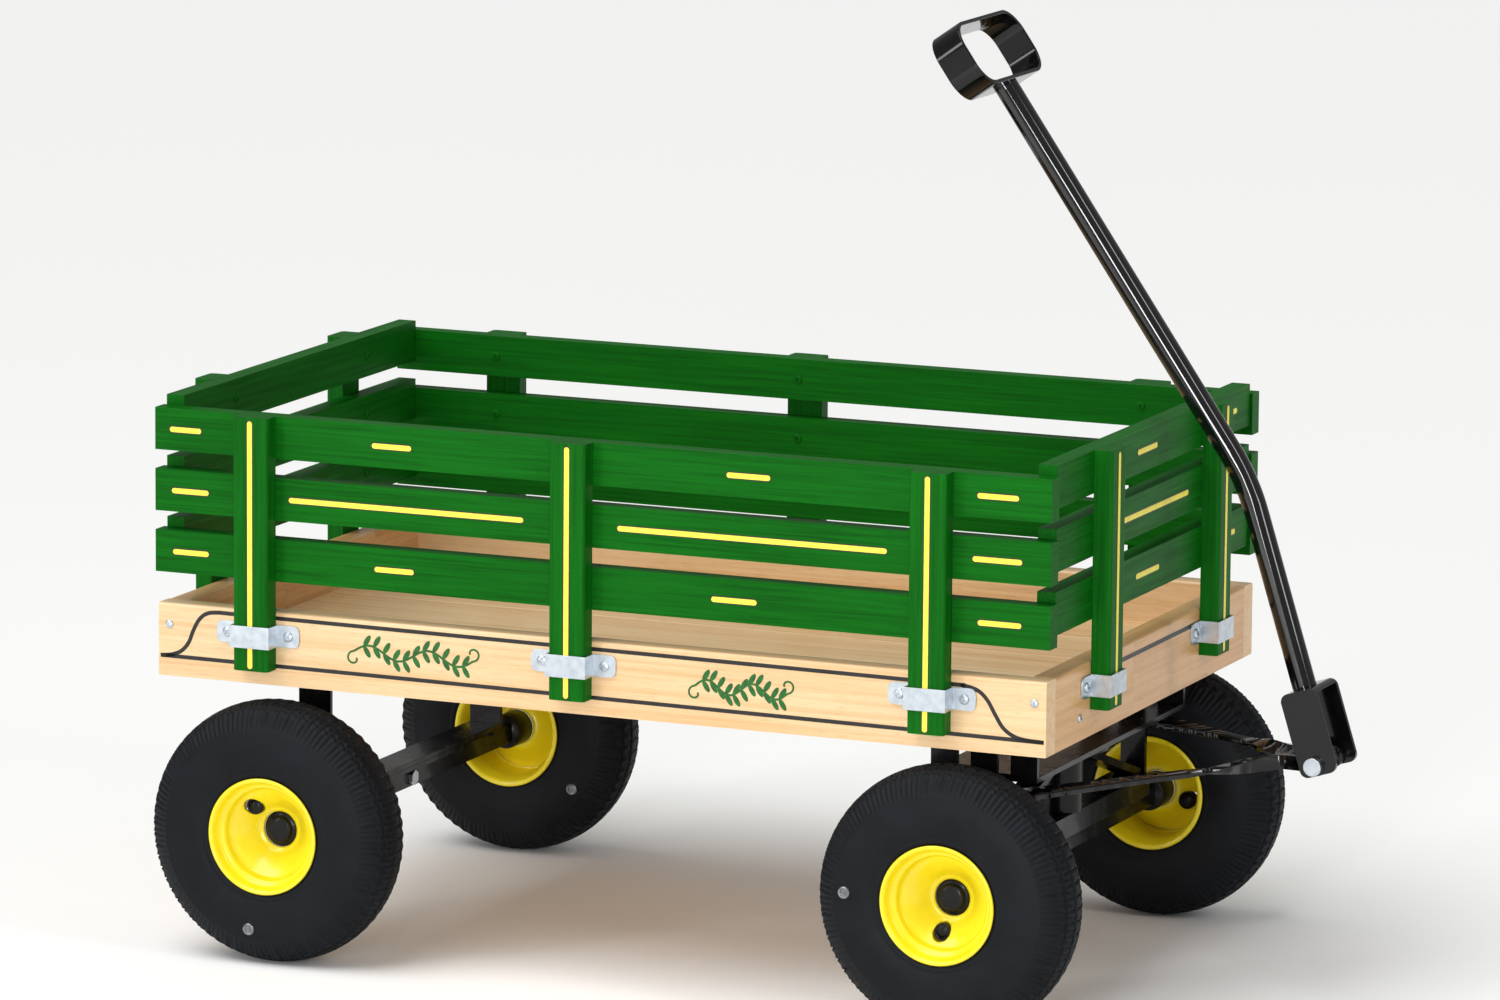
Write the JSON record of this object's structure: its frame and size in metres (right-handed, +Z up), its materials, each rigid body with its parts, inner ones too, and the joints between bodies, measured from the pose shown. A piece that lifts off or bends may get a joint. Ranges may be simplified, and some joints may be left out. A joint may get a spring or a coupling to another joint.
{
  "type": "kids pull wagon",
  "caption": "Wooden-bed pull wagon with lift-out stake racks, steered front axle, four air-tyre wheels and a hinged pull handle with a loop grip.",
  "frame": {"origin": "on the ground at the middle of the wagon's overall length and width", "axes": "+X forward, the way the wagon is pulled; +Y to the wagon's left; +Z up"},
  "size_m": [1.1638, 0.653, 0.9419],
  "materials": {
    "maple": "clear-coated hard maple",
    "green_paint": "semi-gloss green paint on wood",
    "zinc_plate": "bright zinc plate",
    "black_steel": "gloss black powder coat",
    "tyre_rubber": "black tyre rubber",
    "yellow_enamel": "gloss yellow enamel",
    "black_plastic": "satin black moulded hub"
  },
  "bodies": {
    "wagon_bed": {"bed_side_right": "maple", "bed_side_left": "maple", "bed_end_front": "maple", "bed_end_rear": "maple", "deck_boards": "maple", "deck_cleats": "maple", "bed_screws": "zinc_plate", "stake_brackets": "zinc_plate", "bracket_screws": "zinc_plate", "rear_bolster": "black_steel", "rear_axle": "black_steel", "front_bolster": "black_steel", "bolster_bolts": "zinc_plate", "kingpin": "zinc_plate"},
    "rack_right": {"rack_right_slat_top": "green_paint", "rack_right_slat_middle": "green_paint", "rack_right_slat_bottom": "green_paint", "rack_right_stakes": "green_paint", "rack_right_screws": "zinc_plate"},
    "rack_left": {"rack_left_slat_top": "green_paint", "rack_left_slat_middle": "green_paint", "rack_left_slat_bottom": "green_paint", "rack_left_stakes": "green_paint", "rack_left_screws": "zinc_plate"},
    "rack_front": {"rack_front_slat_top": "green_paint", "rack_front_slat_middle": "green_paint", "rack_front_slat_bottom": "green_paint", "rack_front_stakes": "green_paint", "rack_front_screws": "zinc_plate"},
    "rack_rear": {"rack_rear_slat_top": "green_paint", "rack_rear_slat_middle": "green_paint", "rack_rear_slat_bottom": "green_paint", "rack_rear_stakes": "green_paint", "rack_rear_screws": "zinc_plate"},
    "steering_fork": {"fork_plate": "black_steel", "fork_tube": "black_steel", "fork_beam": "black_steel", "fork_braces": "black_steel", "fork_posts": "black_steel", "fork_bolts": "zinc_plate", "tongue_bar_right": "black_steel", "tongue_bar_left": "black_steel", "front_axle": "black_steel", "handle_bolt": "zinc_plate"},
    "handle": {"handle_yoke": "black_steel", "handle_tube": "black_steel", "handle_grip": "black_steel"},
    "wheel_rear_right": {"tyre_rear_right": "tyre_rubber", "rim_rear_right": "yellow_enamel", "hub_rear_right": "black_plastic"},
    "wheel_rear_left": {"tyre_rear_left": "tyre_rubber", "rim_rear_left": "yellow_enamel", "hub_rear_left": "black_plastic"},
    "wheel_front_right": {"tyre_front_right": "tyre_rubber", "rim_front_right": "yellow_enamel", "hub_front_right": "black_plastic"},
    "wheel_front_left": {"tyre_front_left": "tyre_rubber", "rim_front_left": "yellow_enamel", "hub_front_left": "black_plastic"}
  },
  "joints": [
    {"name": "rack_right_lift", "type": "slide", "parent": "wagon_bed", "child": "rack_right", "axis": [0, 0, 1], "range_m": [0, 0.05]},
    {"name": "rack_left_lift", "type": "slide", "parent": "wagon_bed", "child": "rack_left", "axis": [0, 0, 1], "range_m": [0, 0.05]},
    {"name": "rack_front_lift", "type": "slide", "parent": "wagon_bed", "child": "rack_front", "axis": [0, 0, 1], "range_m": [0, 0.05]},
    {"name": "rack_rear_lift", "type": "slide", "parent": "wagon_bed", "child": "rack_rear", "axis": [0, 0, 1], "range_m": [0, 0.05]},
    {"name": "steer", "type": "hinge", "parent": "wagon_bed", "child": "steering_fork", "pos_m": [0.28492, 0, 0.131], "axis": [0, 0, 1], "range_deg": [-40, 40]},
    {"name": "handle_tilt", "type": "hinge", "parent": "steering_fork", "child": "handle", "pos_m": [0.55992, 0, 0.2365], "axis": [0, 1, 0], "range_deg": [0, 130]},
    {"name": "wheel_rear_right_spin", "type": "hinge", "parent": "wagon_bed", "child": "wheel_rear_right", "pos_m": [-0.42908, -0.285, 0.131], "axis": [0, 1, 0], "continuous": true},
    {"name": "wheel_rear_left_spin", "type": "hinge", "parent": "wagon_bed", "child": "wheel_rear_left", "pos_m": [-0.42908, 0.285, 0.131], "axis": [0, 1, 0], "continuous": true},
    {"name": "wheel_front_right_spin", "type": "hinge", "parent": "steering_fork", "child": "wheel_front_right", "pos_m": [0.28492, -0.285, 0.131], "axis": [0, 1, 0], "continuous": true},
    {"name": "wheel_front_left_spin", "type": "hinge", "parent": "steering_fork", "child": "wheel_front_left", "pos_m": [0.28492, 0.285, 0.131], "axis": [0, 1, 0], "continuous": true}
  ]
}
